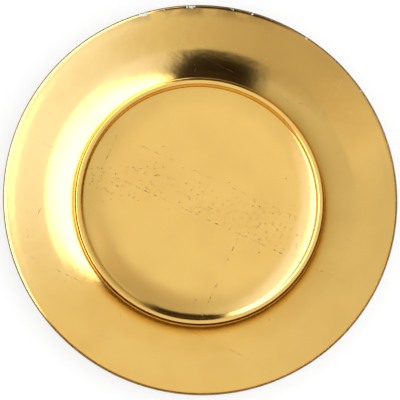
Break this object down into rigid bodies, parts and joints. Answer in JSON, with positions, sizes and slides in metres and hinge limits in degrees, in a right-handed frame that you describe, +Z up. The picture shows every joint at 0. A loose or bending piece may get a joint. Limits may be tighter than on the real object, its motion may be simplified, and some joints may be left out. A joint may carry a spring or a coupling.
{
  "type": "glass charger plate",
  "caption": "Round clear-glass charger plate, gilded on its back with brass leaf, with a flat well, a broad flange, a turned-up lip and a foot ring to stand on.",
  "frame": {"origin": "on the plate's axis, on the surface that its foot ring stands on", "axes": "+Z up along the plate's axis; +X to the right and +Y to the top of the picture"},
  "size_m": [0.33, 0.33, 0.0185],
  "materials": {
    "clear_glass": "clear pressed glass, fire polished",
    "brass_leaf": "hand-laid brass leaf with fine cracks, satin under the glass",
    "clear_lacquer": "clear gloss sealing lacquer"
  },
  "bodies": {
    "root": {"glass_plate": "clear_glass", "leaf_bottom_left": "brass_leaf", "leaf_bottom_right": "brass_leaf", "leaf_lower_left": "brass_leaf", "leaf_lower_middle": "brass_leaf", "leaf_lower_right": "brass_leaf", "leaf_strip_left": "brass_leaf", "leaf_strip_middle": "brass_leaf", "leaf_strip_right": "brass_leaf", "leaf_upper_left": "brass_leaf", "leaf_upper_middle": "brass_leaf", "leaf_upper_right": "brass_leaf", "leaf_top_left": "brass_leaf", "leaf_top_middle": "brass_leaf", "leaf_top_right": "brass_leaf", "seal_coat": "clear_lacquer"}
  },
  "joints": []
}
